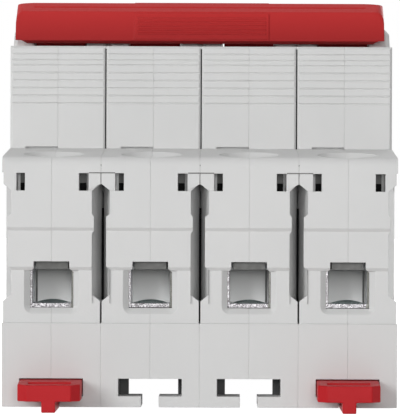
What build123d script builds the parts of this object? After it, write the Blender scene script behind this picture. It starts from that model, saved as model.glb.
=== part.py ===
from build123d import *
import math
import os

os.makedirs("parts", exist_ok=True)

# Millimetres. +X runs across the modules, +Y towards the line terminals, +Z to the front.
# Heights are counted from the back face of the case, and each finished piece is lowered by
# the depth of the rail recess, so the origin is the middle of the seat for the rail.

# Small round parts are prisms with this many sides, hidden ones with fewer
round_sides = 16
head_sides = 12
hidden_sides = 8

# Cuts reach this far past the faces they open
over = 1.0

# Modules
module_count = 4
module_pitch = 18.0
module_gap = 0.0
clip_modules = [1, 4]

# Case outline seen from the side
case_length = 85.0
nose_length = 45.0
shoulder_edge_height = 45.5
shoulder_nose_height = 47.5
nose_rise = 19.3
hump_rise = 3.9
hump_base_length = 31.0
hump_top_length = 23.0
shoulder_round = 1.8
shoulder_steps = 3
nose_chamfer = 0.5
hump_chamfer = 0.6
hump_cheek_chamfer = 0.8
nose_side_chamfer = 0.45

# Steps of each end face, as insets from the end of the case
foot_inset = 0.6
foot_height = 8.9
ledge_height = 15.3
ledge_inset = 0.1
panel_inset = 1.0
panel_height = 24.9
middle_inset = 0.5
middle_height = 32.1
band_height = 0.6

# Rail recess and the fixed hook beyond it
rail_width = 35.0
rail_thickness = 1.0
rail_recess = 5.3
rail_play = 0.4
hook_reach = 1.5
hook_height = 3.0
seat_groove_depth = 0.3
seat_groove_margin = 0.1

# Walls
side_wall = 1.5
front_wall = 1.4
hump_wall_run = 7.2
hump_wall_drop = 7.0
floor_wall = 1.5
end_block = 11.2
barrier_wall = 1.4

# T-slots for the rail clips
slot_width = 11.6
slot_inner_width = 9.6
slot_inner_start = 15.0
slot_lip = 2.0
slot_ceiling = 5.2
slot_stem_width = 3.2

# Recesses in the sides of each end
side_recess_depth = 1.64
side_recess_low = 20.5
side_recess_high = 39.4
side_recess_flare = 1.2
side_recess_run = 3.0
left_ear_depth = 0.7
left_ear_low = 25.6
right_ear_depth = 0.37
right_ear_low = 32.1
ear_high = 34.7
ear_taper = 0.5
tab_recess_depth = 0.27
tab_recess_high = 42.7
panel_side_relief = 0.15

# Small slots beside the shoulder, as distances from the middle of a module
notch_low = 39.4
notch_high = 42.6
notch_depth = 4.0
left_notch_near = 4.85
left_notch_far = 6.4
right_notch_near = 4.96
right_notch_far = 6.73

# Slit under the nose, on the left half only
slit_drop = 0.1
slit_thickness = 0.4
slit_width = 6.1
slit_depth = 3.0

# Grooves across the nose
groove_count = 6
groove_start = 8.5
groove_pitch = 1.44
top_groove_count = 2
top_groove_drop = 2.65
top_groove_pitch = 1.13
groove_width = 0.36
groove_depth = 0.22

# Conductor entry
entry_half_width = 3.93
entry_low = 18.05
entry_shoulder = 24.6
entry_neck = 25.2
entry_high = 26.5
entry_neck_half_width = 3.25
funnel_half_width = 5.0
funnel_depth = 1.0
funnel_corner = 1.4
funnel_corner_steps = 3

# Terminal screw and its access hole
screw_diameter = 5.0
screw_head_diameter = 6.6
screw_head_height = 3.6
screw_slot_width = 1.1
screw_slot_length = 5.4
screw_slot_depth = 1.8
thread_clearance = 0.05
access_diameter = 6.0
scoop_diameter = 10.9
scoop_depth = 3.6
scoop_rise = 1.0
screw_tip_gap = 0.25
head_clearance = 0.2
head_lift = 0.1
ledge_thickness = 0.6

# Clamp cage
cage_half_width = 4.55
cage_wall = 1.0
cage_floor = 0.85
cage_top = 2.2
cage_depth = 6.8
cage_low = 18.05
cage_tongue_space = 1.0
cage_clearance = 0.35
clamp_travel = 5.4

# Terminal tongues
tongue_thickness = 1.3
tongue_low = 25.1
tongue_half_width = 2.9
tongue_clearance = 0.05
tongue_setback = 3.0

# Toggle, lever and drum
pivot_depth = 15.7
lean_angle = 33.0
hub_half = 6.4
toggle_half_width = 4.7
lever_thickness = 4.6
lever_neck = 9.0
drum_gap = 0.2
drum_wall = 1.2
drum_half_angle = 72.0
drum_steps = 8
axle_radius = 2.0
axle_clearance = 0.05
axle_end_gap = 0.15
axle_seat_depth = 0.9
window_half_width = 5.0
window_length = 31.6
window_sill_rise = 0.4
window_throat_length = 28.8
bar_peg_half_thickness = 1.7
bar_peg_half_width = 3.6
bar_peg_height = 2.4
peg_clearance = 0.05

# Handle bar, measured in the lever's own frame: across it, and outwards from the pivot
bar_length = 70.1
bar_offset = -0.33
bar_gap = 3.35
bar_sole_half = 5.1
bar_sole_inset = 1.1
bar_side_rise = 1.25
bar_side_half = 6.1
bar_crest_rise = 5.05
bar_crest_half = 1.69
bar_end_round = 1.5
bar_round_steps = 4
bar_corner_run = 3.7
bar_corner_share = 0.55
bar_corner_spread = 1.1
bar_corner_climb = 0.5
crest_groove_half = 0.25
crest_groove_depth = 0.2
crest_groove_inset = 3.4
grip_length = 25.6
grip_share = 0.9
grip_height = 0.15
grip_rib_inset = 0.6
grip_rib_count = 5
grip_rib_pitch = 0.78
grip_rib_width = 0.3
grip_rib_height = 0.18

# Wire link between toggle and contact arm
crank_radius = 5.0
link_wire = 1.2
link_clearance = 0.06
link_gap = 0.3
link_toggle_leg = 5.0
link_arm_leg = 7.6

# Contact arm
arm_hinge_height = 30.0
arm_pin_radius = 10.0
arm_half_width = 1.6
arm_thickness = 3.6
arm_blade_thickness = 1.6
arm_reach = 14.0
arm_hub_half = 2.6
arm_hub_half_width = 5.6
arm_slot_wall = 0.8
arm_axle_radius = 1.5
arm_slot_width = 1.7
arm_slot_travel = 1.2
contact_pad = 0.8
contact_pad_size = 3.0
contact_tip = 1.2
blade_taper = 1.0
contact_gap = 0.3
contact_over_travel = 0.2

# Fixed contact and arc chute
fixed_contact_low = 12.0
chute_length = 11.5
chute_low = 7.1
chute_high = 24.2
chute_half_width = 7.1
chute_cheek = 0.8
plate_count = 5
plate_thickness = 1.0
chute_gap = 1.2
plate_notch = 5.0

# Trip coil
coil_length = 11.6
coil_radius = 5.2
coil_flange = 12.4
coil_flange_wall = 1.2
coil_gap = 0.3
plunger_radius = 1.4
plunger_reach = 1.6

# Bimetal strip
bimetal_thickness = 1.0
bimetal_half_width = 2.4
bimetal_height = 14.0
bimetal_place = 12.5

# Rail clip
clip_half_width = 5.65
clip_inner_half_width = 4.65
clip_end_gap = 0.3
clip_rail_gap = 0.2
clip_lip_gap = 0.4
clip_nose_slope = 0.6
clip_low = 2.15
clip_high = 5.0
clip_protrusion = 8.0
clip_nose_reach = 1.2
clip_nose_top = 3.9
clip_tab_low = 1.5
clip_tab_front_top = 4.45
clip_corner = 1.6
clip_pocket_half_width = 3.85
clip_pocket_length = 3.0
clip_pocket_depth = 1.4
clip_pocket_setback = 1.6
clip_stem_half_width = 1.25
clip_stem_drop = 0.5
clip_stem_length = 20.0

# Places that follow from the sizes above
nose_height = shoulder_nose_height + nose_rise
hump_height = nose_height + hump_rise
pivot_height = nose_height - pivot_depth
groove_low = shoulder_nose_height + groove_start
top_groove_low = nose_height - top_groove_drop
slit_height = shoulder_nose_height - slit_drop
window_sill = nose_height + window_sill_rise
drum_radius = hump_height - front_wall - drum_gap - pivot_height
bar_sole_radius = hump_height - pivot_height + bar_gap
bar_side_radius = bar_sole_radius + bar_side_rise
bar_crest_radius = bar_sole_radius + bar_crest_rise
link_plane = toggle_half_width + link_gap + link_wire / 2
half_width = (module_pitch - module_gap) / 2
end_y = case_length / 2
nose_y = nose_length / 2
block_y = end_y - end_block
recess_y = rail_width / 2 + rail_play
cavity_x = half_width - side_wall
pocket_inner_y = block_y + barrier_wall
pocket_outer_y = pocket_inner_y + cage_depth + 2 * cage_clearance
terminal_y = (pocket_inner_y + pocket_outer_y) / 2
pocket_low = cage_low - cage_clearance
tongue_high = tongue_low + tongue_thickness
cage_window_high = tongue_high + cage_tongue_space
cage_high = cage_window_high + cage_top
pocket_high = cage_high + clamp_travel + cage_clearance
head_low = pocket_high + ledge_thickness
head_high = head_low + screw_head_height
head_pocket_high = head_high + head_clearance
tongue_outer_y = end_y - tongue_setback
lean = math.radians(lean_angle)
arm_swing = math.asin(crank_radius * math.sin(lean) / arm_pin_radius)


def module_x(number):
    return (number - (module_count + 1) / 2) * module_pitch


def block(x_low, x_high, y_low, y_high, z_low, z_high):
    place = Pos((x_low + x_high) / 2, (y_low + y_high) / 2, (z_low + z_high) / 2)
    return place * Box(x_high - x_low, y_high - y_low, z_high - z_low)


def prism_x(points, x_low, x_high):
    outline = Polyline(*[(x_low, y, z) for y, z in points], close=True)
    return extrude(make_face(outline), amount=x_high - x_low, dir=(1, 0, 0))


def prism_y(points, y_low, y_high):
    outline = Polyline(*[(x, y_low, z) for x, z in points], close=True)
    return extrude(make_face(outline), amount=y_high - y_low, dir=(0, 1, 0))


def prism_z(points, z_low, z_high):
    outline = Polyline(*[(x, y, z_low) for x, y in points], close=True)
    return extrude(make_face(outline), amount=z_high - z_low, dir=(0, 0, 1))


def rod(radius, length, sides):
    """A shaft whose corners lie on the radius."""
    return extrude(RegularPolygon(radius, sides), amount=length)


def bore(radius, length, sides):
    """A hole whose sides lie on the radius, so that a shaft of that radius turns in it."""
    return extrude(RegularPolygon(radius, sides, major_radius=False, rotation=180 / sides), amount=length)


def along_x(x_low, y, z):
    return Pos(x_low, y, z) * Rot(0, 90, 0)


def along_y(x, y_low, z):
    return Pos(x, y_low, z) * Rot(-90, 0, 0)


def edges_at(solid, y, z):
    return [
        edge
        for edge in solid.edges().filter_by(Axis.X)
        if abs(edge.center().Y - y) < 0.01 and abs(edge.center().Z - z) < 0.01
    ]


def mirrored_ends(solid):
    return [solid, mirror(solid, about=Plane.XZ)]


def save(name, solid):
    placed = Pos(0, 0, -rail_recess) * solid
    placed.label = name
    export_step(placed, f"parts/{name}.step")


# Case

def shoulder_height(y):
    share = (end_y - abs(y)) / (end_y - nose_y)
    return shoulder_edge_height + (shoulder_nose_height - shoulder_edge_height) * share


def groove_heights():
    lower = [groove_low + i * groove_pitch for i in range(groove_count)]
    upper = [top_groove_low + i * top_groove_pitch for i in range(top_groove_count)]
    return lower + upper


def rounded_shoulder():
    """Points of the rounding between the end face and the sloping shoulder."""
    slope = math.atan2(shoulder_nose_height - shoulder_edge_height, end_y - nose_y)
    turn = math.pi / 2 - slope
    setback = shoulder_round * math.tan(turn / 2)
    centre_y = end_y - shoulder_round
    centre_z = shoulder_edge_height - setback
    turns = [turn * i / shoulder_steps for i in range(shoulder_steps + 1)]
    return [
        (centre_y + shoulder_round * math.cos(angle), centre_z + shoulder_round * math.sin(angle))
        for angle in turns
    ]


def end_outline(grooved):
    """Half of the side outline, from the foot to the middle of the hump, as (distance, height)."""
    points = [
        (end_y - foot_inset, 0),
        (end_y - foot_inset, foot_height),
        (end_y - ledge_inset, ledge_height),
        (end_y - panel_inset, ledge_height),
        (end_y - panel_inset, panel_height),
        (end_y - middle_inset, panel_height + band_height),
        (end_y - middle_inset, middle_height),
        (end_y, middle_height + band_height),
    ]
    points += rounded_shoulder()
    points.append((nose_y, shoulder_nose_height))
    for height in groove_heights() if grooved else []:
        points.append((nose_y, height - groove_width / 2))
        points.append((nose_y - groove_depth, height))
        points.append((nose_y, height + groove_width / 2))
    points.append((nose_y, nose_height - nose_chamfer))
    points.append((nose_y - nose_chamfer, nose_height))
    points.append((hump_base_length / 2, nose_height))
    points.append((hump_top_length / 2, hump_height))
    return points


def case_outline():
    near = [(-y, z) for y, z in end_outline(True)]
    far = end_outline(False)[::-1]
    hook_y = recess_y - hook_reach
    recess = [
        (hook_y, 0),
        (hook_y, hook_height),
        (recess_y, slot_ceiling - rail_thickness),
        (recess_y, rail_recess + seat_groove_depth),
        (hook_y - seat_groove_margin, rail_recess + seat_groove_depth),
        (hook_y - seat_groove_margin, rail_recess),
        (-recess_y, rail_recess),
        (-recess_y, 0),
    ]
    return near + far + recess


def cavity_outline():
    inner_nose_y = nose_y - front_wall
    corner = nose_height - front_wall
    floor = rail_recess + floor_wall
    half = [
        (block_y, floor),
        (block_y, shoulder_height(block_y) - front_wall),
        (inner_nose_y, shoulder_nose_height - front_wall),
        (inner_nose_y, corner - hump_wall_drop),
        (inner_nose_y - hump_wall_run, corner),
        (hump_top_length / 2 - front_wall, hump_height - front_wall),
    ]
    return [(-y, z) for y, z in half] + half[::-1]


def side_recess(side):
    """Recess in the side of the end, with the small ear that each side has."""
    inner_x = half_width - side_recess_depth
    ear_depth = left_ear_depth if side < 0 else right_ear_depth
    ear_low = left_ear_low if side < 0 else right_ear_low
    wide = end_y + over
    front = prism_y(
        [
            (inner_x, side_recess_low),
            (inner_x, ear_low - ear_taper),
            (inner_x + ear_depth, ear_low),
            (inner_x + ear_depth, ear_high),
            (inner_x, ear_high + ear_taper),
            (inner_x, side_recess_high),
            (half_width - tab_recess_depth, side_recess_high + side_recess_flare),
            (half_width + over, side_recess_high + side_recess_flare),
            (half_width + over, side_recess_low - side_recess_flare),
            (half_width - panel_side_relief, side_recess_low - side_recess_flare),
        ],
        block_y - over,
        wide,
    )
    plan = prism_z(
        [
            (inner_x, wide),
            (inner_x, end_y - side_recess_run),
            (half_width, block_y),
            (half_width + over, block_y),
            (half_width + over, wide),
        ],
        side_recess_low - 2 * side_recess_flare,
        side_recess_high + 2 * side_recess_flare,
    )
    return front & plan


def funnel():
    """Chamfered mouth round a conductor entry: its side faces slope in to the entry."""
    spread = funnel_half_width - entry_half_width
    low = entry_low - spread
    centre_x = funnel_half_width - funnel_corner
    centre_z = low + funnel_corner
    turns = [i * math.pi / 2 / funnel_corner_steps for i in range(funnel_corner_steps + 1)]
    right = [
        (centre_x + funnel_corner * math.sin(turn), centre_z - funnel_corner * math.cos(turn))
        for turn in turns
    ]
    right.append((funnel_half_width, entry_high))
    outline = right + [(-x, z) for x, z in reversed(right)]
    floor_y = end_y - panel_inset - funnel_depth
    tool = prism_y(outline, floor_y, end_y)
    rim = [
        edge
        for edge in tool.edges()
        if abs(edge.center().Y - floor_y) < 0.01 and edge.center().Z < entry_high - 0.01
    ]
    floor = tool.faces().sort_by(Axis.Y)[0]
    tool = chamfer(rim, spread, funnel_depth, reference=floor)
    return tool & block(-half_width, half_width, floor_y - over, end_y, 0, panel_height)


def scoop(radius, y, rim):
    """Funnel-shaped dish down to a bore of the screw's access."""
    inner = access_diameter / 2
    low = rim - scoop_depth
    tool = Pos(0, y, low) * bore(radius, scoop_depth + over, round_sides)
    floor = tool.faces().sort_by(Axis.Z)[0]
    rise = floor.edges()
    return chamfer(rise, radius - inner, scoop_depth, reference=floor)


def end_cuts(side):
    """Everything that is cut out of the line end, for the half with positive x."""
    wide = end_y + over
    cuts = [side_recess(side)]
    side_x = half_width + over
    tab_x = half_width - tab_recess_depth
    panel_x = half_width - panel_side_relief
    cuts.append(block(tab_x, side_x, block_y, wide, side_recess_high, tab_recess_high))
    cuts.append(block(panel_x, side_x, block_y, wide, ledge_height, side_recess_low))
    entry = prism_y(
        [
            (-over, entry_low),
            (entry_half_width, entry_low),
            (entry_half_width, entry_shoulder),
            (entry_neck_half_width, entry_neck),
            (entry_neck_half_width, entry_high),
            (-over, entry_high),
        ],
        pocket_outer_y - 0.5,
        wide,
    )
    cuts.append(entry)
    cuts.append(funnel())
    pocket_x = cage_half_width + cage_clearance
    cuts.append(block(-over, pocket_x, pocket_inner_y, pocket_outer_y, pocket_low, pocket_high))
    shank = screw_diameter / 2 + head_clearance
    head = screw_head_diameter / 2 + head_clearance
    for reach, low, high in (
        (shank, pocket_high - over, head_low + over),
        (head, head_low, head_pocket_high),
    ):
        cuts.append(block(-over, reach, terminal_y - reach, terminal_y + reach, low, high))
    rim = shoulder_height(terminal_y) + scoop_rise
    access = bore(access_diameter / 2, rim - head_pocket_high + over, round_sides)
    cuts.append(Pos(0, terminal_y, head_pocket_high - over) * access)
    cuts.append(scoop(scoop_diameter / 2 + scoop_rise, terminal_y, rim))
    slot_x = tongue_half_width + tongue_clearance
    low = tongue_low - tongue_clearance
    high = tongue_high + tongue_clearance
    cuts.append(block(-over, slot_x, block_y - over, pocket_inner_y + over, low, high))
    inner_start = end_y - slot_inner_start
    slot_end = recess_y - hook_reach - over
    cuts.append(block(-over, slot_width / 2, inner_start, wide, slot_lip, slot_ceiling))
    cuts.append(block(-over, slot_inner_width / 2, slot_end, inner_start, slot_lip, slot_ceiling))
    cuts.append(block(-over, slot_stem_width / 2, slot_end, wide, -over, slot_lip))
    nose_corner = half_width - nose_side_chamfer
    cuts.append(
        prism_z(
            [
                (nose_corner, nose_y + nose_side_chamfer),
                (nose_corner, nose_y),
                (half_width, nose_y - nose_side_chamfer),
                (half_width + over, nose_y - nose_side_chamfer),
                (half_width + over, nose_y + nose_side_chamfer),
            ],
            shoulder_nose_height - nose_side_chamfer,
            nose_height + over,
        )
    )
    return cuts


def half_shell(side):
    """One half of a module's case, side +1 for the right half and -1 for the left half."""
    shell = prism_x(case_outline(), 0, half_width)
    for sign in (-1, 1):
        shell = chamfer(edges_at(shell, sign * hump_top_length / 2, hump_height), hump_chamfer)
    cheeks = [
        edge
        for edge in shell.edges()
        if edge.center().Z > nose_height + 0.1 and edge.center().X > half_width - 0.01
    ]
    shell = chamfer(cheeks, hump_cheek_chamfer)
    shell -= prism_x(cavity_outline(), -over, cavity_x)
    for opening, low in (
        (window_length / 2, window_sill),
        (window_throat_length / 2, nose_height - 2 * front_wall),
    ):
        shell -= block(-over, window_half_width, -opening, opening, low, hump_height + over)
    for cut in end_cuts(side):
        for tool in mirrored_ends(cut):
            shell -= tool
    near = left_notch_near if side < 0 else right_notch_near
    far = left_notch_far if side < 0 else right_notch_far
    for tool in mirrored_ends(block(near, far, end_y - notch_depth, end_y + over, notch_low, notch_high)):
        shell -= tool
    if side < 0:
        slit_top = slit_height + slit_thickness
        slit = block(-over, slit_width, nose_y - over, nose_y + slit_depth, slit_height, slit_top)
        for tool in mirrored_ends(slit):
            shell -= tool
    for radius, height in ((axle_radius, pivot_height), (arm_axle_radius, arm_hinge_height)):
        seat = bore(radius + axle_clearance, over + axle_seat_depth, hidden_sides)
        shell -= along_x(cavity_x - over, 0, height) * seat
    return mirror(shell, about=Plane.YZ) if side < 0 else shell


# Terminals

def clamp_cage(end):
    y_low = terminal_y - cage_depth / 2
    y_high = terminal_y + cage_depth / 2
    cage = block(-cage_half_width, cage_half_width, y_low, y_high, cage_low, cage_high)
    window = cage_half_width - cage_wall
    cage -= block(-window, window, y_low - over, y_high + over, cage_low + cage_floor, cage_window_high)
    thread = bore(screw_diameter / 2 + thread_clearance, cage_top + 2 * over, hidden_sides)
    cage -= Pos(0, terminal_y, cage_window_high - over) * thread
    return cage if end > 0 else mirror(cage, about=Plane.XZ)


def terminal_screw(end):
    tip = tongue_high + screw_tip_gap
    seat = head_low + head_lift
    screw = Pos(0, terminal_y, tip) * rod(screw_diameter / 2, seat - tip, hidden_sides)
    screw += Pos(0, terminal_y, seat) * rod(screw_head_diameter / 2, head_high - seat, head_sides)
    long = screw_slot_length / 2
    thin = screw_slot_width / 2
    floor = head_high - screw_slot_depth
    screw -= block(-long, long, terminal_y - thin, terminal_y + thin, floor, head_high + over)
    screw -= block(-thin, thin, terminal_y - long, terminal_y + long, floor, head_high + over)
    return screw if end > 0 else mirror(screw, about=Plane.XZ)


# Toggle and handle

def lean_frame():
    """Place of the lever's frame: its y runs across the lever and its z outwards from the pivot."""
    return Pos(0, 0, pivot_height) * Rot(lean_angle, 0, 0)


def toggle():
    wide = toggle_half_width
    top = bar_sole_radius
    thick = lever_thickness / 2
    lever = prism_x(
        [(-hub_half, -hub_half), (hub_half, -hub_half), (hub_half, hub_half), (thick, lever_neck),
         (thick, top), (-thick, top), (-thick, lever_neck), (-hub_half, hub_half)],
        -wide,
        wide,
    )
    swing = math.radians(drum_half_angle)
    turns = [swing * (2 * i / drum_steps - 1) for i in range(drum_steps + 1)]
    outer = [(drum_radius * math.sin(turn), drum_radius * math.cos(turn)) for turn in turns]
    share = 1 - drum_wall / drum_radius
    inner = [(y * share, z * share) for y, z in reversed(outer)]
    body = lever + prism_x(outer + inner, -wide, wide)
    peg = bar_peg_half_width
    body += block(-peg, peg, -bar_peg_half_thickness, bar_peg_half_thickness, top, top + bar_peg_height)
    axle_end = cavity_x + axle_seat_depth - axle_end_gap
    body += along_x(-axle_end, 0, 0) * rod(axle_radius, 2 * axle_end, hidden_sides)
    hole = bore(link_wire / 2 + link_clearance, link_toggle_leg + over, hidden_sides)
    body -= along_x(link_plane - link_toggle_leg - link_clearance, 0, -crank_radius) * hole
    return lean_frame() * body


def bar_end_outline():
    """Outline of the bar seen across it, with small rounds at the crest, as (x, height)."""
    end = bar_length / 2
    centre_x = end - bar_end_round
    centre_z = bar_crest_radius - bar_end_round
    turns = [i * math.pi / 2 / bar_round_steps for i in range(bar_round_steps + 1)]
    half = [
        (end - bar_sole_inset - (bar_side_half - bar_sole_half), bar_sole_radius),
        (end - bar_sole_inset, bar_side_radius),
        (end, bar_side_radius),
    ]
    half += [
        (centre_x + bar_end_round * math.cos(turn), centre_z + bar_end_round * math.sin(turn))
        for turn in turns
    ]
    return half + [(-x, z) for x, z in reversed(half)]


def bar_corner():
    """Oblique cut off the upper corner of a grip face, which runs out towards the crest."""
    run = bar_side_half - bar_crest_half
    rise = bar_crest_rise - bar_side_rise
    end = bar_length / 2
    turns = [i * math.pi / 2 / bar_round_steps for i in range(bar_round_steps + 1)]
    edge = [
        (end - bar_corner_run * (1 - math.sin(turn)), bar_corner_share * (1 - math.cos(turn)))
        for turn in turns
    ]
    above = -bar_corner_share
    outline = edge + [(end + bar_corner_run, bar_corner_share), (end + bar_corner_run, above)]
    outline.append((end - bar_corner_run, above))
    places = [(x, -bar_crest_half - run * down, bar_crest_radius - rise * down) for x, down in outline]
    face = make_face(Polyline(*places, close=True))
    course = Vector(bar_corner_spread, 1, bar_corner_climb)
    tool = extrude(face, amount=2 * bar_side_half * course.length, dir=course)
    return tool + extrude(face, amount=course.length, dir=-course)


def handle_bar():
    section = [
        (bar_side_half, bar_side_radius),
        (bar_crest_half, bar_crest_radius),
        (-bar_crest_half, bar_crest_radius),
        (-bar_side_half, bar_side_radius),
        (-bar_sole_half, bar_sole_radius),
        (bar_sole_half, bar_sole_radius),
    ]
    end = bar_length / 2
    bar = prism_x(section, -end, end)
    bar = bar & prism_y(bar_end_outline(), -bar_side_half, bar_side_half)
    for tool in mirrored_ends(bar_corner()):
        bar -= tool
        bar -= mirror(tool, about=Plane.YZ)
    half = crest_groove_half
    groove = [(-half, bar_crest_radius), (0, bar_crest_radius - crest_groove_depth), (half, bar_crest_radius)]
    bar -= prism_x(groove, crest_groove_inset - end, end - crest_groove_inset)
    bar = Pos(bar_offset, 0, 0) * bar
    rise = bar_crest_rise - bar_side_rise
    run = bar_side_half - bar_crest_half
    slope = math.atan2(rise, run)
    slant = math.hypot(rise, run)
    middle = Pos(0, (bar_side_half + bar_crest_half) / 2, (bar_side_radius + bar_crest_radius) / 2)
    for turn in (0, 180):
        face = Rot(0, 0, turn) * middle * Rot(-math.degrees(slope), 0, 0)
        bar += face * Box(grip_length, slant * grip_share, 2 * grip_height)
        for i in range(grip_rib_count):
            place = (i - (grip_rib_count - 1) / 2) * grip_rib_pitch
            rib = Box(grip_length - 2 * grip_rib_inset, grip_rib_width, 2 * (grip_height + grip_rib_height))
            bar += face * Pos(0, place, 0) * rib
    for number in range(1, module_count + 1):
        x = module_x(number)
        half = bar_peg_half_width + peg_clearance
        thin = bar_peg_half_thickness + peg_clearance
        top = bar_sole_radius + bar_peg_height + peg_clearance
        bar -= block(x - half, x + half, -thin, thin, bar_sole_radius - over, top)
    return lean_frame() * bar


# Contact train, at rest with the contacts open

def crank_pin():
    return crank_radius * math.sin(lean), pivot_height - crank_radius * math.cos(lean)


def arm_pin():
    return arm_pin_radius * math.sin(arm_swing), arm_hinge_height + arm_pin_radius * math.cos(arm_swing)


def toggle_link():
    y, z_top = crank_pin()
    z_low = arm_pin()[1]
    route = Polyline(
        (link_plane - link_toggle_leg, y, z_top),
        (link_plane, y, z_top),
        (link_plane, y, z_low),
        (link_plane - link_arm_leg, y, z_low),
    )
    start = Plane(origin=route @ 0, z_dir=route % 0)
    section = start * RegularPolygon(link_wire / 2, hidden_sides)
    return sweep(section, path=route, transition=Transition.RIGHT)


def contact_arm():
    wide = arm_half_width
    thick = arm_thickness / 2
    blade = arm_blade_thickness / 2
    top = arm_pin_radius + arm_slot_width / 2 + arm_slot_wall
    tip = -arm_reach - contact_tip
    arm = prism_x(
        [(-thick, top), (-thick, -arm_hub_half), (-blade, -arm_hub_half - blade_taper), (-blade, tip),
         (blade, tip), (blade, -arm_hub_half - blade_taper), (thick, -arm_hub_half), (thick, top)],
        -wide,
        wide,
    )
    arm += block(-arm_hub_half_width, arm_hub_half_width, -thick, thick, -arm_hub_half, arm_hub_half)
    pad = contact_pad_size / 2
    arm += block(-pad, pad, blade, blade + contact_pad, tip, -arm_reach + pad)
    axle_end = cavity_x + axle_seat_depth - axle_end_gap
    arm += along_x(-axle_end, 0, 0) * rod(arm_axle_radius, 2 * axle_end, hidden_sides)
    slot = arm_slot_width / 2
    low = arm_pin_radius - arm_slot_travel - slot
    arm -= block(-wide - over, wide + over, -slot, slot, low, arm_pin_radius + slot)
    return Pos(0, 0, arm_hinge_height) * Rot(-math.degrees(arm_swing), 0, 0) * arm


def closed_contact_face():
    """Distance of the moving contact's face from the middle of the case when the contacts close."""
    face = arm_blade_thickness / 2 + contact_pad
    return arm_reach * math.sin(arm_swing) + (face + contact_over_travel) / math.cos(arm_swing)


def fixed_contact():
    half_pad = contact_pad_size / 2
    pad_y = closed_contact_face() + contact_gap
    strip_y = pad_y + contact_pad
    height = arm_hinge_height - arm_reach * math.cos(arm_swing)
    strip = prism_x(
        [
            (strip_y, fixed_contact_low),
            (strip_y + tongue_thickness, fixed_contact_low),
            (strip_y + tongue_thickness, tongue_low),
            (tongue_outer_y, tongue_low),
            (tongue_outer_y, tongue_high),
            (strip_y, tongue_high),
        ],
        -tongue_half_width,
        tongue_half_width,
    )
    strip += block(-half_pad, half_pad, pad_y, strip_y, height - half_pad, height + half_pad)
    return strip


def chute_start():
    return closed_contact_face() + contact_gap + contact_pad + tongue_thickness + chute_gap


def arc_chute():
    y_low = chute_start()
    y_high = y_low + chute_length
    inner = chute_half_width - chute_cheek
    chute = block(inner, chute_half_width, y_low, y_high, chute_low, chute_high)
    chute += block(-chute_half_width, -inner, y_low, y_high, chute_low, chute_high)
    step = (chute_high - chute_low - 2 * plate_thickness) / (plate_count - 1)
    for i in range(plate_count):
        floor = chute_low + plate_thickness / 2 + i * step
        notch = [
            (-inner, y_low),
            (-inner / 2, y_low),
            (0, y_low + plate_notch),
            (inner / 2, y_low),
            (inner, y_low),
            (inner, y_high),
            (-inner, y_high),
        ]
        chute += prism_z(notch, floor, floor + plate_thickness)
    return chute


def trip_coil():
    y_low = chute_start()
    y_high = y_low + coil_length
    z = tongue_high + coil_gap + coil_flange / 2
    half = coil_flange / 2
    coil = block(-half, half, y_low, y_low + coil_flange_wall, z - half, z + half)
    coil += block(-half, half, y_high - coil_flange_wall, y_high, z - half, z + half)
    winding = rod(coil_radius, coil_length - 2 * coil_flange_wall, hidden_sides)
    coil += along_y(0, y_low + coil_flange_wall, z) * winding
    coil += along_y(0, y_low - plunger_reach, z) * rod(plunger_radius, plunger_reach, hidden_sides)
    return coil


def bimetal():
    strip = prism_x(
        [
            (-tongue_outer_y, tongue_low),
            (-bimetal_place, tongue_low),
            (-bimetal_place, tongue_high),
            (-tongue_outer_y, tongue_high),
        ],
        -tongue_half_width,
        tongue_half_width,
    )
    strip += block(
        -bimetal_half_width,
        bimetal_half_width,
        -bimetal_place - bimetal_thickness,
        -bimetal_place,
        tongue_high,
        tongue_high + bimetal_height,
    )
    return strip


# Rail clip

def rail_clip():
    start = -end_y - clip_protrusion
    inner_start = -end_y + slot_inner_start - clip_end_gap
    nose_start = -recess_y - clip_rail_gap
    body = block(-clip_half_width, clip_half_width, -end_y, inner_start, clip_low, clip_high)
    body += block(-clip_inner_half_width, clip_inner_half_width, inner_start, nose_start, clip_low, clip_high)
    nose_end = -recess_y + rail_play + clip_nose_reach
    body += prism_x(
        [
            (nose_start, clip_low),
            (nose_end, clip_low),
            (nose_end, clip_nose_top - clip_nose_slope),
            (nose_start, clip_nose_top),
        ],
        -clip_inner_half_width,
        clip_inner_half_width,
    )
    tab = prism_x(
        [
            (start, clip_tab_low),
            (-end_y - clip_lip_gap, clip_tab_low),
            (-end_y - clip_lip_gap, clip_low),
            (-end_y, clip_low),
            (-end_y, clip_high),
            (start, clip_tab_front_top),
        ],
        -clip_half_width,
        clip_half_width,
    )
    corners = [
        edge
        for edge in tab.edges().filter_by(Axis.Z)
        if abs(edge.center().Y - start) < 0.01
    ]
    body += chamfer(corners, clip_corner)
    pocket_start = start + clip_pocket_setback
    body -= block(
        -clip_pocket_half_width,
        clip_pocket_half_width,
        pocket_start,
        pocket_start + clip_pocket_length,
        clip_high - clip_pocket_depth,
        clip_high + over,
    )
    body += block(
        -clip_stem_half_width,
        clip_stem_half_width,
        start,
        start + clip_stem_length,
        -clip_stem_drop,
        clip_low,
    )
    return body


module_pieces = {
    "shell_left": half_shell(-1),
    "shell_right": half_shell(1),
    "line_cage": clamp_cage(1),
    "load_cage": clamp_cage(-1),
    "line_screw": terminal_screw(1),
    "load_screw": terminal_screw(-1),
    "toggle": toggle(),
    "toggle_link": toggle_link(),
    "contact_arm": contact_arm(),
    "fixed_contact": fixed_contact(),
    "arc_chute": arc_chute(),
    "trip_coil": trip_coil(),
    "bimetal": bimetal(),
}
for number in range(1, module_count + 1):
    for name, solid in module_pieces.items():
        save(f"{name}_{number}", Pos(module_x(number), 0, 0) * solid)
save("handle_bar", handle_bar())
clip = rail_clip()
for number in clip_modules:
    save(f"rail_clip_{number}", Pos(module_x(number), 0, 0) * clip)
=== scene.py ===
import math

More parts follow.
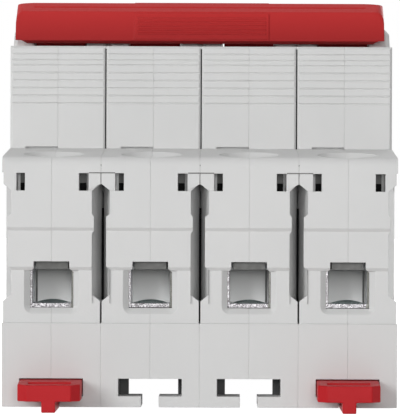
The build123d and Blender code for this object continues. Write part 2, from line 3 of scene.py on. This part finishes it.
import bpy
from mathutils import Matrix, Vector


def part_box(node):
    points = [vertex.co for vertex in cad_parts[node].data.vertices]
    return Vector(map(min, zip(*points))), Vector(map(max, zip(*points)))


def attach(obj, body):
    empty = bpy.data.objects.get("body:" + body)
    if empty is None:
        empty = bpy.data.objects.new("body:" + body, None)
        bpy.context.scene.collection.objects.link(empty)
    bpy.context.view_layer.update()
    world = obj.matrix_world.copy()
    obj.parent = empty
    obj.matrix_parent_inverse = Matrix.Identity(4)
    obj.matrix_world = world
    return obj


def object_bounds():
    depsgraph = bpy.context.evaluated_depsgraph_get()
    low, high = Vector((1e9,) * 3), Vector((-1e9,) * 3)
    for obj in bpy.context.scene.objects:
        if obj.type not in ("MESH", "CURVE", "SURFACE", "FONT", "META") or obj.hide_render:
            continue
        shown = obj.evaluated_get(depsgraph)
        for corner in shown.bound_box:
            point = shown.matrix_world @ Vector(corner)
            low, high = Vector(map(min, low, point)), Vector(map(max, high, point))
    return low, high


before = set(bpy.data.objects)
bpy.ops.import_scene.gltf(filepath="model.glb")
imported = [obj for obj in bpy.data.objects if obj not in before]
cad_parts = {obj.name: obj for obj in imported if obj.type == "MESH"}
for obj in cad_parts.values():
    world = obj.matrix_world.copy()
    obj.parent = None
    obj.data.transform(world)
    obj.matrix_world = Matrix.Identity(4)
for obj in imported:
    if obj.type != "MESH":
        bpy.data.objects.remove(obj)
cadLow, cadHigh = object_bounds()
bpy.ops.object.select_all(action="DESELECT")
print("frame loaded")

mm = 0.001                          # the dictionaries give sizes in mm unless a note says otherwise
pitch = 18.0 * mm                   # from the middle of one module to the next
modules = (1, 2, 3, 4)
rowMiddle = (len(modules) + 1) / 2
ends = {"load": -1, "line": 1}      # the handle leans towards the load end, at -Y
endFace = cadHigh.y                 # the end faces' distance from the middle of the row


# Materials

def newGroup(name, inputs, outputs):
    group = bpy.data.node_groups.new(name, "ShaderNodeTree")
    for label, kind, value in inputs:
        socket = group.interface.new_socket(name=label, in_out="INPUT", socket_type=kind)
        if value is not None:
            socket.default_value = value
    for label, kind in outputs:
        group.interface.new_socket(name=label, in_out="OUTPUT", socket_type=kind)
    return group


mouldGrain = {"fineDetail": 3.0, "cloudDetail": 2.0, "height": 0.04, "edgeSamples": 6}


def grainGroup():
    # spark-eroded mould grain: a normal for the surface, rounded at the edges, and a slow tone variation
    group = newGroup(
        "mouldGrain",
        [
            ("Grain scale", "NodeSocketFloat", 2200.0),
            ("Grain depth", "NodeSocketFloat", 0.2),
            ("Cloud scale", "NodeSocketFloat", 60.0),
            ("Edge radius", "NodeSocketFloat", 0.0),
        ],
        [("Normal", "NodeSocketVector"), ("Cloud", "NodeSocketFloat"), ("Grain", "NodeSocketFloat")],
    )
    nodes, links = group.nodes, group.links
    entry = nodes.new("NodeGroupInput")
    leave = nodes.new("NodeGroupOutput")
    place = nodes.new("ShaderNodeTexCoord")
    fine = nodes.new("ShaderNodeTexNoise")
    fine.inputs["Detail"].default_value = mouldGrain["fineDetail"]
    slow = nodes.new("ShaderNodeTexNoise")
    slow.inputs["Detail"].default_value = mouldGrain["cloudDetail"]
    edge = nodes.new("ShaderNodeBevel")
    edge.samples = mouldGrain["edgeSamples"]
    links.new(entry.outputs["Edge radius"], edge.inputs["Radius"])
    bump = nodes.new("ShaderNodeBump")
    bump.inputs["Distance"].default_value = mouldGrain["height"] * mm
    links.new(edge.outputs["Normal"], bump.inputs["Normal"])
    links.new(place.outputs["Object"], fine.inputs["Vector"])
    links.new(place.outputs["Object"], slow.inputs["Vector"])
    links.new(entry.outputs["Grain scale"], fine.inputs["Scale"])
    links.new(entry.outputs["Cloud scale"], slow.inputs["Scale"])
    links.new(entry.outputs["Grain depth"], bump.inputs["Strength"])
    links.new(fine.outputs["Fac"], bump.inputs["Height"])
    links.new(bump.outputs["Normal"], leave.inputs["Normal"])
    links.new(slow.outputs["Fac"], leave.inputs["Cloud"])
    links.new(fine.outputs["Fac"], leave.inputs["Grain"])
    return group


grain = grainGroup()


def mixColours(nodes, links, factor, low, high):
    # two colours by a mask, each a fixed colour or the output of another node
    mix = nodes.new("ShaderNodeMix")
    mix.data_type = "RGBA"
    links.new(factor, mix.inputs["Factor"])
    for label, colour in (("A", low), ("B", high)):
        if isinstance(colour, tuple):
            mix.inputs[label].default_value = (*colour, 1)
        else:
            links.new(colour, mix.inputs[label])
    return mix.outputs["Result"]


def stretch(nodes, links, value, source, target=(0, 1)):
    # a value carried from one range to another, and held at its ends
    node = nodes.new("ShaderNodeMapRange")
    node.inputs["From Min"].default_value, node.inputs["From Max"].default_value = source
    node.inputs["To Min"].default_value, node.inputs["To Max"].default_value = target
    links.new(value, node.inputs["Value"])
    return node.outputs["Result"]


def placeOnPiece(nodes, links):
    # the point on the piece, whole and as X, Y and Z
    place = nodes.new("ShaderNodeTexCoord")
    split = nodes.new("ShaderNodeSeparateXYZ")
    links.new(place.outputs["Object"], split.inputs[0])
    return place.outputs["Object"], split.outputs


def calculate(nodes, links, value, operation, *numbers):
    # one Math node on a value, with fixed numbers for its other inputs
    node = nodes.new("ShaderNodeMath")
    node.operation = operation
    for place, number in enumerate(numbers, start=1):
        node.inputs[place].default_value = number
    links.new(value, node.inputs[0])
    return node.outputs[0]


def either(nodes, links, first, second):
    # 1 where one of two masks is 1
    node = nodes.new("ShaderNodeMath")
    node.operation = "MAXIMUM"
    links.new(first, node.inputs[0])
    links.new(second, node.inputs[1])
    return node.outputs[0]


def tornEdge(nodes, links, base, front):
    # torn sheet edge on the front of a cage: speckled, with painted shade on its right side
    point, axes = placeOnPiece(nodes, links)
    depth = calculate(nodes, links, axes["Y"], "ABSOLUTE")
    atFront = calculate(nodes, links, depth, "GREATER_THAN", front["reach"] * mm)
    speck = nodes.new("ShaderNodeTexNoise")
    speck.inputs["Scale"].default_value = front["scale"]
    speck.inputs["Detail"].default_value = front["detail"]
    links.new(point, speck.inputs["Vector"])
    grade = stretch(nodes, links, speck.outputs["Fac"], front["range"])
    torn = mixColours(nodes, links, grade, *front["pale"])
    shifted = calculate(nodes, links, axes["X"], "ADD", pitch / 2)
    across = calculate(nodes, links, shifted, "WRAP", pitch / 2, -pitch / 2)      # from the module's middle
    # painted shade: right of this distance from the module's middle the edge takes the dark colour given
    # for its shaded side
    shaded = calculate(nodes, links, across, "GREATER_THAN", front["side"] * mm)
    strip = mixColours(nodes, links, shaded, torn, front["shadedSide"])
    return mixColours(nodes, links, atFront, base, strip)


def slope(nodes, links, axis, start, end):
    # 0 to 1 along one axis of the piece, from start to end in mm
    axes = placeOnPiece(nodes, links)[1]
    return stretch(nodes, links, axes[axis], (start * mm, end * mm))


usualNoise = (0.3, 0.7)     # where most of a noise texture's values lie
usualEdge = 0.05            # mm, the edge radius in a finish that names none


def finish(name, settings):
    material = bpy.data.materials.new(name)
    material.use_nodes = True
    nodes, links = material.node_tree.nodes, material.node_tree.links
    shader = nodes["Principled BSDF"]
    effect = nodes.new("ShaderNodeGroup")
    effect.node_tree = grain
    effect.inputs["Grain scale"].default_value = settings["grainScale"]
    effect.inputs["Grain depth"].default_value = settings["grainDepth"]
    effect.inputs["Cloud scale"].default_value = settings["cloudScale"]
    effect.inputs["Edge radius"].default_value = settings.get("edge", usualEdge) * mm
    # a slope setting paints light and shade as a colour ramp along one axis of the piece, in place of the
    # random cloud tone
    tone = slope(nodes, links, *settings["slope"]) if "slope" in settings else effect.outputs["Cloud"]
    colour = mixColours(nodes, links, tone, settings["dark"], settings["light"])
    if "front" in settings:
        colour = tornEdge(nodes, links, colour, settings["front"])
    links.new(colour, shader.inputs["Base Color"])
    rough = stretch(nodes, links, effect.outputs["Grain"], usualNoise, settings["roughness"])
    links.new(rough, shader.inputs["Roughness"])
    links.new(effect.outputs["Normal"], shader.inputs["Normal"])
    shader.inputs["Metallic"].default_value = settings.get("metallic", 0.0)
    shader.inputs["Specular IOR Level"].default_value = settings.get("specular", 0.5)
    return material


finishes = {
    "casePlastic": {
        "dark": (0.60, 0.602, 0.60), "light": (0.645, 0.645, 0.64), "roughness": (0.55, 0.68),
        "grainScale": 2600.0, "grainDepth": 0.35, "cloudScale": 55.0, "specular": 0.25, "edge": 0.16,
    },
    # painted light and shade: through its slope the bar is coloured darker at its bottom (Z 62.6 mm) and
    # lighter at its top (Z 68.6 mm)
    "handlePlastic": {
        "dark": (0.31, 0.011, 0.012), "light": (0.46, 0.022, 0.022), "roughness": (0.5, 0.62),
        "grainScale": 2300.0, "grainDepth": 0.3, "cloudScale": 70.0, "specular": 0.2, "edge": 0.35,
        "slope": ("Z", 62.6, 68.6),
    },
    "togglePlastic": {
        "dark": (0.30, 0.016, 0.018), "light": (0.36, 0.024, 0.026), "roughness": (0.42, 0.52),
        "grainScale": 2300.0, "grainDepth": 0.25, "cloudScale": 80.0, "specular": 0.4,
    },
    "clipPlastic": {
        "dark": (0.41, 0.008, 0.012), "light": (0.47, 0.012, 0.017), "roughness": (0.42, 0.55),
        "grainScale": 2100.0, "grainDepth": 0.2, "cloudScale": 90.0, "specular": 0.16, "edge": 0.25,
    },
    "zincSteel": {
        "dark": (0.52, 0.54, 0.57), "light": (0.78, 0.8, 0.82), "roughness": (0.26, 0.5),
        "grainScale": 1400.0, "grainDepth": 0.5, "cloudScale": 420.0, "metallic": 1.0,
        "front": {
            "reach": 39.7, "scale": 5200.0, "detail": 2.0, "range": (0.42, 0.58), "side": 3.4,
            "pale": ((0.07, 0.064, 0.069), (0.34, 0.335, 0.342)), "shadedSide": (0.09, 0.09, 0.083),
        },
    },
    "screwSteel": {
        "dark": (0.5, 0.52, 0.54), "light": (0.7, 0.71, 0.73), "roughness": (0.24, 0.42),
        "grainScale": 1600.0, "grainDepth": 0.35, "cloudScale": 300.0, "metallic": 1.0,
    },
    "springSteel": {
        "dark": (0.34, 0.34, 0.35), "light": (0.5, 0.5, 0.51), "roughness": (0.25, 0.38),
        "grainScale": 1500.0, "grainDepth": 0.3, "cloudScale": 300.0, "metallic": 1.0,
    },
    "contactCopper": {
        "dark": (0.62, 0.32, 0.18), "light": (0.78, 0.46, 0.3), "roughness": (0.25, 0.45),
        "grainScale": 1300.0, "grainDepth": 0.3, "cloudScale": 240.0, "metallic": 1.0,
    },
    "windingCopper": {
        "dark": (0.42, 0.15, 0.06), "light": (0.6, 0.24, 0.1), "roughness": (0.2, 0.35),
        "grainScale": 1200.0, "grainDepth": 0.3, "cloudScale": 240.0, "metallic": 1.0,
    },
    "bimetalStrip": {
        "dark": (0.085, 0.085, 0.083), "light": (0.11, 0.11, 0.107), "roughness": (0.5, 0.6),
        "grainScale": 1500.0, "grainDepth": 0.25, "cloudScale": 260.0, "metallic": 1.0,
    },
    # painted shade: through its slope the sheet is coloured light at its bottom (Z 13 mm) and dark at its
    # top (Z 20 mm); here the dark key holds the light colour
    "guardSteel": {
        "dark": (0.88, 0.88, 0.865), "light": (0.25, 0.25, 0.243), "roughness": (0.7, 0.8),
        "grainScale": 1300.0, "grainDepth": 0.0, "cloudScale": 120.0, "specular": 0.1,
        "slope": ("Z", 13.0, 20.0),
    },
    # painted shade: the dark colour of the strips in the shaded corners between sheet and cage wall
    "paintedCornerShade": {
        "dark": (0.1, 0.1, 0.098), "light": (0.14, 0.14, 0.137), "roughness": (0.7, 0.8),
        "grainScale": 1300.0, "grainDepth": 0.1, "cloudScale": 120.0, "specular": 0.1,
    },
    "ridgeSteel": {
        "dark": (0.013, 0.016, 0.016), "light": (0.045, 0.054, 0.053), "roughness": (0.3, 0.45),
        "grainScale": 1500.0, "grainDepth": 0.3, "cloudScale": 500.0, "metallic": 1.0,
    },
    "deepShade": {
        "dark": (0.006, 0.006, 0.006), "light": (0.012, 0.012, 0.012), "roughness": (0.8, 0.9),
        "grainScale": 1500.0, "grainDepth": 0.1, "cloudScale": 100.0, "specular": 0.05,
    },
    "dimShade": {
        "dark": (0.16, 0.16, 0.155), "light": (0.2, 0.2, 0.195), "roughness": (0.7, 0.8),
        "grainScale": 1500.0, "grainDepth": 0.1, "cloudScale": 100.0, "specular": 0.05,
    },
    "guideShade": {
        "dark": (0.05, 0.051, 0.052), "light": (0.09, 0.091, 0.092), "roughness": (0.6, 0.7),
        "grainScale": 1500.0, "grainDepth": 0.1, "cloudScale": 100.0, "specular": 0.1,
    },
    "chuteSteel": {
        "dark": (0.26, 0.26, 0.27), "light": (0.4, 0.4, 0.41), "roughness": (0.35, 0.55),
        "grainScale": 1500.0, "grainDepth": 0.4, "cloudScale": 260.0, "metallic": 1.0,
    },
}
materials = {name: finish(name, settings) for name, settings in finishes.items()}

nodeFinish = {
    "shell_left": "casePlastic", "shell_right": "casePlastic", "handle_bar": "handlePlastic",
    "toggle": "togglePlastic", "rail_clip": "clipPlastic", "line_cage": "zincSteel",
    "load_cage": "zincSteel", "line_screw": "screwSteel", "load_screw": "screwSteel",
    "toggle_link": "springSteel", "contact_arm": "contactCopper", "fixed_contact": "contactCopper",
    "trip_coil": "windingCopper", "bimetal": "bimetalStrip", "arc_chute": "chuteSteel",
}


def kindOf(node):
    # the node's name without its module number
    return node[:-2] if node[-1].isdigit() else node


def assignFinishes():
    for name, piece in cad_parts.items():
        piece.data.materials.clear()
        piece.data.materials.append(materials[nodeFinish[kindOf(name)]])


assignFinishes()
print("materials made")


# Small radii on the moulded and bent edges of the CAD pieces: width in mm, segments

edgeWork = {"merge": 0.002, "flatAngle": 0.3, "sharpAngle": 32}     # mm and degrees
edgeRadii = {
    "shell_left": (0.13, 2), "shell_right": (0.13, 2), "handle_bar": (0.6, 3), "toggle": (0.25, 2),
    "rail_clip": (0.2, 3), "line_cage": (0.1, 2), "load_cage": (0.1, 2), "line_screw": (0.15, 2),
    "load_screw": (0.15, 2), "contact_arm": (0.08, 1), "fixed_contact": (0.08, 1),
}


def roundEdges(piece, width, segments):
    # join the loose triangles, make the flat faces whole and round what is left sharp
    weld = piece.modifiers.new("weld", "WELD")
    weld.merge_threshold = edgeWork["merge"] * mm
    planes = piece.modifiers.new("planes", "DECIMATE")
    planes.decimate_type = "DISSOLVE"
    planes.angle_limit = math.radians(edgeWork["flatAngle"])
    bevel = piece.modifiers.new("edges", "BEVEL")
    bevel.width = width * mm
    bevel.segments = segments
    bevel.limit_method = "ANGLE"
    bevel.angle_limit = math.radians(edgeWork["sharpAngle"])
    bevel.use_clamp_overlap = True
    piece.modifiers.new("normals", "WEIGHTED_NORMAL")


def roundAll():
    for node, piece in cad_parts.items():
        if kindOf(node) in edgeRadii:
            roundEdges(piece, *edgeRadii[kindOf(node)])


roundAll()
print("edges rounded")


# Small pieces that the CAD leaves out, in the clamps, in the joints between modules and at the latches;
# several are dark plates of painted shade

blockChamfer = 0.02      # mm, on each edge of a small block
cutThreshold = 1e-6      # m, less than the thinnest of these pieces
jointSides = {"a": -1, "b": 1}


def moduleX(number):
    return (number - rowMiddle) * pitch


def jointX(number):
    # the joint between a module and the next one
    return moduleX(number) + pitch / 2


def span(sign, first, second):
    # two distances laid off on one side of a middle, lower value first
    return sorted((sign * first, sign * second))


def addBlock(name, low, high):
    # a block between two corners, chamfered all round
    centre = [(a + b) / 2 for a, b in zip(low, high)]
    bpy.ops.mesh.primitive_cube_add(size=1, location=centre)
    piece = bpy.context.object
    piece.name = name
    piece.scale = [b - a for a, b in zip(low, high)]
    bpy.ops.object.transform_apply(location=True, rotation=True, scale=True)
    bpy.ops.object.mode_set(mode="EDIT")
    bpy.ops.mesh.select_all(action="SELECT")
    bpy.ops.mesh.bevel(offset=blockChamfer * mm, segments=1, affect="EDGES")
    bpy.ops.object.mode_set(mode="OBJECT")
    return piece


def cutAway(point, normal, side):
    # cut the newest piece along a plane, close the cut and drop the inner or outer side
    bpy.ops.object.mode_set(mode="EDIT")
    bpy.ops.mesh.select_all(action="SELECT")
    bpy.ops.mesh.bisect(
        plane_co=point, plane_no=normal, use_fill=True, threshold=cutThreshold,
        clear_inner=side == "inner", clear_outer=side == "outer",
    )
    bpy.ops.mesh.select_all(action="SELECT")
    bpy.ops.mesh.normals_make_consistent(inside=False)
    bpy.ops.object.mode_set(mode="OBJECT")


def dress(piece, material, body):
    # a small piece's finish and the body that it rides on
    piece.data.materials.append(materials[material])
    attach(piece, body)


guard = {"back": 0.3, "front": 0.1, "side": 0.1, "lift": 0.1, "height": 6.8}
cornerShade = {"half": 0.18, "proud": 0.06, "places": {1: -3.22, 3: 3.22, 4: 3.22}}     # from the module's middle


def makeCornerShade(end, sign, number, depth, bottom, top):
    # painted shade: a dark strip on the sheet where it meets the cage's wall, for the shaded corner there
    middle = moduleX(number) + cornerShade["places"][number] * mm
    near, far = span(sign, depth, depth + cornerShade["proud"] * mm)
    shadeStrip = addBlock(
        f"{end}_fold_{number}",
        (middle - cornerShade["half"] * mm, near, bottom), (middle + cornerShade["half"] * mm, far, top),
    )
    dress(shadeStrip, "paintedCornerShade", "case")


def makeGuards():
    # a steel sheet between each cage and the wall behind it, coloured with painted shade that darkens
    # towards its top
    for end, sign in ends.items():
        for number in modules:
            low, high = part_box(f"{end}_cage_{number}")
            inner = min(abs(low.y), abs(high.y))
            near, far = span(sign, inner - guard["back"] * mm, inner - guard["front"] * mm)
            bottom, top = low.z + guard["lift"] * mm, low.z + guard["height"] * mm
            sheet = addBlock(
                f"{end}_guard_{number}",
                (low.x + guard["side"] * mm, near, bottom), (high.x - guard["side"] * mm, far, top),
            )
            dress(sheet, "guardSteel", "case")
            if number in cornerShade["places"]:
                makeCornerShade(end, sign, number, inner - guard["front"] * mm, bottom, top)


ridge = {
    "floor": 0.85, "sink": 0.05, "thick": 0.35, "radius": 8.0, "vertices": 96,
    "places": ((1.0, 0.35), (3.4, 0.62)),     # distance behind the cage's front edge and height
}


def makeArch(x, y, floorZ, height):
    # a slice of a lying disc that stands out of the floor
    bpy.ops.mesh.primitive_cylinder_add(
        vertices=ridge["vertices"], radius=ridge["radius"] * mm, depth=ridge["thick"] * mm,
        location=(x, y, floorZ + (height - ridge["radius"]) * mm), rotation=(math.radians(90), 0, 0),
    )
    arch = bpy.context.object
    bpy.ops.object.transform_apply(location=True, rotation=True, scale=True)
    cutAway((0, 0, floorZ - ridge["sink"] * mm), (0, 0, 1), "inner")
    return arch


def makeRidges():
    # two arched ridges across the floor of each cage, that bite into the wire
    for end, sign in ends.items():
        for number in modules:
            low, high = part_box(f"{end}_cage_{number}")
            front = max(abs(low.y), abs(high.y))
            x, floorZ = (low.x + high.x) / 2, low.z + ridge["floor"] * mm
            made = [
                makeArch(x, sign * (front - back * mm), floorZ, height)
                for back, height in ridge["places"]
            ]
            bpy.ops.object.select_all(action="DESELECT")
            for arch in made:
                arch.select_set(True)
            bpy.context.view_layer.objects.active = made[0]
            bpy.ops.object.join()
            made[0].name = f"{end}_ridges_{number}"
            dress(made[0], "ridgeSteel", f"{end}_cage_{number}_body")
            bpy.ops.object.select_all(action="DESELECT")


slotShade = {
    "depth": 4.0, "thick": 0.12, "left": (-5.9, -4.85), "right": (4.96, 6.2),
    "parts": (("low", 34.1, 35.55, "deepShade"), ("high", 35.55, 37.3, "dimShade")),
}


def makeSlotShades():
    # painted shade: dark plates at the back of the slots beside the shoulder, darkest in their lower half
    for end, sign in ends.items():
        for number in modules:
            centre = moduleX(number)
            back = endFace - slotShade["depth"] * mm
            near, far = span(sign, back, back + slotShade["thick"] * mm)
            for side in ("left", "right"):
                inner, outer = slotShade[side]
                for part, low, high, material in slotShade["parts"]:
                    shadePlate = addBlock(
                        f"{end}_pocket_{side}_{part}_{number}",
                        (centre + inner * mm, near, low * mm), (centre + outer * mm, far, high * mm),
                    )
                    dress(shadePlate, material, "case")


tab = {"gap": 0.02, "width": 0.25, "inset": 0.15, "depth": 6.0, "low": 35.3, "high": 37.4}


def makeTabs():
    # small tabs on the inner sides of the modules, which meet at the joint
    for end, sign in ends.items():
        outer = endFace - tab["inset"] * mm
        near, far = span(sign, outer - tab["depth"] * mm, outer)
        for number in modules[:-1]:
            middle = jointX(number)
            for side, shift in jointSides.items():
                edges = sorted((middle + shift * tab["gap"] * mm, middle + shift * tab["width"] * mm))
                piece = addBlock(
                    f"{end}_tab_{number}{side}",
                    (edges[0], near, tab["low"] * mm), (edges[1], far, tab["high"] * mm),
                )
                dress(piece, "casePlastic", "case")


rib = {
    "depth": 1.62, "gap": 0.18, "front": 0.7, "slope": 8.6, "lip": 0.04,
    "back": 10.7, "low": 13.6, "high": 35.2,
}


def makeJointRibs():
    # sloping faces in the recess between two modules, with a dark joint left between them
    outer, run = endFace - rib["front"] * mm, (rib["depth"] - rib["gap"]) * mm
    for end, sign in ends.items():
        near, far = span(sign, outer, endFace - rib["back"] * mm)
        for number in modules[:-1]:
            middle = jointX(number)
            for side, shift in jointSides.items():
                edges = sorted((middle + shift * rib["depth"] * mm, middle + shift * rib["gap"] * mm))
                face = addBlock(
                    f"{end}_rib_{number}{side}",
                    (edges[0], near, rib["low"] * mm), (edges[1], far, rib["high"] * mm),
                )
                cutAway(
                    (middle + shift * (rib["depth"] - rib["lip"]) * mm, sign * outer, 0),
                    (-shift * rib["slope"] * mm, sign * run, 0), "outer",
                )
                dress(face, "casePlastic", "case")


plate = {
    "inner": 0.06, "outer": {"a": 2.2, "b": 2.56}, "proud": 0.1, "low": 34.15, "high": 37.25,
    "tip": 35.4, "tipHalf": 1.62,
}
plateLine = {"low": 37.27, "high": 37.45, "proud": 0.05}


def makeTabPlates():
    # the tabs' faces between the slots of two modules, and a dark line of painted shadow above them, under
    # the shoulder's lip
    front = endFace + plate["proud"] * mm
    rise = plate["tip"] - plate["low"]
    for number in modules[:-1]:
        middle = jointX(number)
        for side, shift in jointSides.items():
            outer = plate["outer"][side]
            edges = sorted((middle + shift * plate["inner"] * mm, middle + shift * outer * mm))
            face = addBlock(
                f"load_plate_{number}{side}",
                (edges[0], -front, plate["low"] * mm), (edges[1], -endFace, plate["high"] * mm),
            )
            cutAway(
                (middle, 0, plate["tip"] * mm),
                (-shift * rise * mm, 0, -plate["tipHalf"] * mm), "outer",
            )
            dress(face, "casePlastic", "case")
        line = addBlock(
            f"load_line_{number}",
            (middle - plate["outer"]["a"] * mm, -endFace - plateLine["proud"] * mm, plateLine["low"] * mm),
            (middle + plate["outer"]["b"] * mm, -endFace, plateLine["high"] * mm),
        )
        dress(line, "dimShade", "case")


shade = {
    "recess": {"half": 0.17, "back": 8.9, "front": 8.5, "low": 9.8, "high": 31.0},
    "nose": {"half": 0.11, "back": 20.5, "front": 20.3, "low": 42.1, "high": 61.0},
    "shoulder": {"half": 0.05, "back": 0.3, "front": 0.02, "low": 37.5, "high": 38.9},
}


def makeJointShades():
    # dark strips at the bottom of the joints between modules: recess, nose and shoulder
    for end, sign in ends.items():
        for number in modules[:-1]:
            middle = jointX(number)
            for place, size in shade.items():
                near, far = span(sign, endFace - size["back"] * mm, endFace - size["front"] * mm)
                strip = addBlock(
                    f"{end}_{place}_shade_{number}",
                    (middle - size["half"] * mm, near, size["low"] * mm),
                    (middle + size["half"] * mm, far, size["high"] * mm),
                )
                dress(strip, "deepShade", "case")


channelShade = {
    "sides": {2: ((-5.75, -4.05), (5.05, 5.75)), 3: ((-5.75, -4.33), (4.42, 5.75))},
    "far": 36.0, "near": 34.4, "low": -3.3, "high": -0.15,
}


def makeChannelShades():
    # painted shade: dark plates on the side walls of the two empty clip channels
    for number, sides in channelShade["sides"].items():
        for side, (start, stop) in zip(("left", "right"), sides):
            wall = addBlock(
                f"load_guide_{side}_{number}",
                (moduleX(number) + start * mm, -channelShade["far"] * mm, channelShade["low"] * mm),
                (moduleX(number) + stop * mm, -channelShade["near"] * mm, channelShade["high"] * mm),
            )
            dress(wall, "guideShade", "case")


makeChannelShades()
makeJointRibs()
makeJointShades()
makeGuards()
makeRidges()
makeSlotShades()
makeTabs()
makeTabPlates()
print("small pieces made")


# Floor, light and camera

ground = {"size": 6.0, "gap": 0.02, "grey": 0.8, "roughness": 0.9}      # m for the size, mm for the gap


def floorMaterial():
    # pale grey for light, plain white where the camera or a reflection sees it
    material = bpy.data.materials.new("paleFloor")
    material.use_nodes = True
    nodes, links = material.node_tree.nodes, material.node_tree.links
    shader = nodes["Principled BSDF"]
    shader.inputs["Base Color"].default_value = (ground["grey"], ground["grey"], ground["grey"], 1)
    shader.inputs["Roughness"].default_value = ground["roughness"]
    shader.inputs["Emission Color"].default_value = (1, 1, 1, 1)
    rays = nodes.new("ShaderNodeLightPath")
    seen = either(nodes, links, rays.outputs["Is Camera Ray"], rays.outputs["Is Glossy Ray"])
    links.new(seen, shader.inputs["Emission Strength"])
    return material


def makeFloor():
    bpy.ops.mesh.primitive_plane_add(size=ground["size"], location=(0, 0, cadLow.z - ground["gap"] * mm))
    floor = bpy.context.object
    floor.name = "floor"
    bpy.ops.object.transform_apply(location=True)
    floor.data.materials.append(floorMaterial())


# mm from the module's middle, behind the end face, and above the rail seat
card = {
    "slots": {2: (-4.11, 5.11), 3: (-4.39, 4.48)}, "depth": 8.3, "stemHalf": 1.55,
    "bottom": -5.7, "lip": -3.3, "top": -0.15,
}


def cardMaterial():
    material = bpy.data.materials.new("whiteCard")
    material.use_nodes = True
    shader = material.node_tree.nodes["Principled BSDF"]
    shader.inputs["Base Color"].default_value = (0, 0, 0, 1)
    shader.inputs["Specular IOR Level"].default_value = 0
    shader.inputs["Emission Color"].default_value = (1, 1, 1, 1)
    shader.inputs["Emission Strength"].default_value = 1
    return material


def makeCards():
    # white cards behind the lips of the two empty slots
    material = cardMaterial()
    y = card["depth"] * mm - endFace
    for number, (left, right) in card["slots"].items():
        for part, start, stop, low, high in (
            ("slot", left, right, card["lip"], card["top"]),
            ("stem", -card["stemHalf"], card["stemHalf"], card["bottom"], card["lip"]),
        ):
            bpy.ops.mesh.primitive_plane_add(
                size=1, rotation=(math.radians(90), 0, 0),
                location=(moduleX(number) + (start + stop) / 2 * mm, y, (low + high) / 2 * mm),
            )
            sheet = bpy.context.object
            sheet.name = f"card_{part}_{number}"
            sheet.scale = ((stop - start) * mm, (high - low) * mm, 1)
            bpy.ops.object.transform_apply(location=True, rotation=True, scale=True)
            sheet.data.materials.append(material)
            sheet.visible_diffuse = False
            sheet.visible_glossy = False
            sheet.visible_shadow = False


sky = {"ambient": 0.31, "backdrop": 1.0}


def makeWorld():
    # dim for light, white where the camera, glass or a reflection sees it
    world = bpy.data.worlds.new("studio")
    bpy.context.scene.world = world
    world.use_nodes = True
    nodes, links = world.node_tree.nodes, world.node_tree.links
    background = nodes["Background"]
    background.inputs["Color"].default_value = (1, 1, 1, 1)
    rays = nodes.new("ShaderNodeLightPath")
    direct = either(nodes, links, rays.outputs["Is Camera Ray"], rays.outputs["Is Transmission Ray"])
    seen = either(nodes, links, direct, rays.outputs["Is Glossy Ray"])
    level = stretch(nodes, links, seen, (0, 1), (sky["ambient"], sky["backdrop"]))
    links.new(level, background.inputs["Strength"])


lampTarget = (0, 0, 0.03)      # places and sizes of the lamps are in m, their power in W
lamps = {
    "keyLight": {"place": (-0.85, -0.95, 0.4), "size": 0.6, "power": 8.0},
    "frontLight": {"place": (0.15, -1.7, 0.15), "size": 0.5, "power": 9.0},
    "topLight": {"place": (-0.1, 0.4, 1.0), "size": 0.8, "power": 1.5},
    "backLight": {"place": (0.7, 1.2, 0.35), "size": 0.8, "power": 7.0},
}


def makeLights():
    for name, settings in lamps.items():
        data = bpy.data.lights.new(name, "AREA")
        data.shape = "SQUARE"
        data.size = settings["size"]
        data.energy = settings["power"]
        lamp = bpy.data.objects.new(name, data)
        bpy.context.scene.collection.objects.link(lamp)
        lamp.location = settings["place"]
        lamp.rotation_mode = "QUATERNION"
        aim = Vector(lampTarget) - Vector(settings["place"])
        lamp.rotation_quaternion = aim.to_track_quat("-Z", "Y")


camera = {
    "distance": 540.0,       # from the end face to the lens
    "height": 30.97,         # above the rail seat
    "pixelsPerMm": 5.5,      # in the plane of the end face
    "longSide": 417,         # pixels of the image's longer side
    "sensor": 36.0,
    "offsetX": 4.5,          # to the right of the middle
    "shiftX": 0.0592,        # shares of the image's longer side
    "shiftY": 0.00024,
    "roll": -0.22,           # degrees
    "clip": (0.01, 20),      # m
}


def makeCamera():
    data = bpy.data.cameras.new("camera")
    data.sensor_width = camera["sensor"]
    data.lens = camera["pixelsPerMm"] * camera["distance"] * camera["sensor"] / camera["longSide"]
    data.shift_x = -camera["shiftX"]
    data.shift_y = -camera["shiftY"]
    lens = bpy.data.objects.new("camera", data)
    bpy.context.scene.collection.objects.link(lens)
    lens.location = (
        camera["offsetX"] * mm, -endFace - camera["distance"] * mm, camera["height"] * mm
    )
    lens.rotation_euler = (math.radians(90), math.radians(camera["roll"]), 0)
    data.clip_start, data.clip_end = camera["clip"]
    bpy.context.scene.camera = lens


makeFloor()
makeCards()
makeWorld()
makeLights()
makeCamera()
bpy.context.scene.view_settings.view_transform = "Standard"
print("stage ready")
